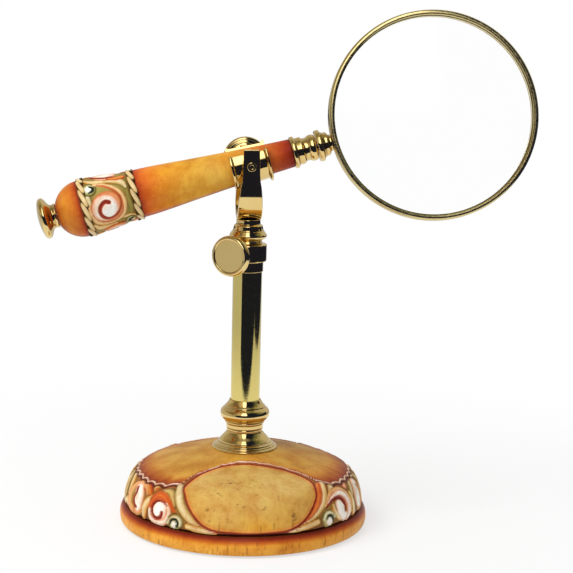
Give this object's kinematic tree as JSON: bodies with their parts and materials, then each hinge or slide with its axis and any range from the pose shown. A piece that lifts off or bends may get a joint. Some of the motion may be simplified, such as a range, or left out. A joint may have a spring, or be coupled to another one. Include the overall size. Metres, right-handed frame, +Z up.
{
  "type": "stand magnifier",
  "caption": "Round lens on a carved tapering handle, held in a sprung clip between the ears of a fork on a brass column over a carved domed base.",
  "frame": {"origin": "centre of the base's underside, where it meets the table", "axes": "+Z up along the column; +X from the column towards the lens; the fork's pivot runs along Y, with its round knob towards +Y"},
  "size_m": [0.249, 0.126, 0.2605],
  "materials": {
    "brass": "polished",
    "steel": "bright",
    "stained": "carved, stained and lacquered",
    "felt": "felt",
    "glass": "clear, polished"
  },
  "bodies": {
    "stand": {"base_body": "stained", "base_felt": "felt", "base_washer": "steel", "base_nut": "steel", "tie_rod": "steel", "foot_bell": "brass", "foot_knop": "brass", "column_tube": "brass", "tube_plug": "brass", "clamp_collar": "brass"},
    "clamp_screw": {"thumbscrew": "brass"},
    "mast": {"mast_rod": "brass"},
    "head": {"mast_neck": "brass", "fork": "brass", "fork_screw": "steel", "pivot_screw": "brass", "pivot_washer_front": "brass", "pivot_washer_rear": "brass"},
    "tilt_knob": {"pivot_knob": "brass"},
    "cradle": {"cradle_clip": "brass"},
    "handle_core": {"handle_rod": "steel"},
    "magnifier": {"handle_body": "stained", "end_knob": "brass", "handle_ferrule": "brass", "ring_socket": "brass", "lens_ring": "brass", "lens_retaining_ring": "brass", "lens_glass": "glass"}
  },
  "joints": [
    {"name": "thumbscrew_turn", "type": "hinge", "parent": "stand", "child": "clamp_screw", "pos_m": [0, 0, 0.13905], "axis": [-0.5592, -0.829, 0], "range_deg": [0, 360]},
    {"name": "mast_slide", "type": "slide", "parent": "stand", "child": "mast", "axis": [0, 0, 1], "range_m": [0, 0.045]},
    {"name": "head_swivel", "type": "hinge", "parent": "mast", "child": "head", "pos_m": [0, 0, 0.15], "axis": [0, 0, 1], "continuous": true},
    {"name": "pivot_knob_turn", "type": "hinge", "parent": "head", "child": "tilt_knob", "pos_m": [0, 0, 0.183], "axis": [0, 1, 0], "range_deg": [0, 360]},
    {"name": "cradle_tilt", "type": "hinge", "parent": "head", "child": "cradle", "pos_m": [0, 0, 0.183], "axis": [0, 1, 0], "range_deg": [-29, 49]},
    {"name": "handle_slide", "type": "slide", "parent": "cradle", "child": "handle_core", "axis": [0.9633, 0, 0.2682], "range_m": [-0.005, 0.002]},
    {"name": "magnifier_roll", "type": "hinge", "parent": "handle_core", "child": "magnifier", "pos_m": [0, 0, 0.183], "axis": [0.9633, 0, 0.2682], "continuous": true}
  ]
}
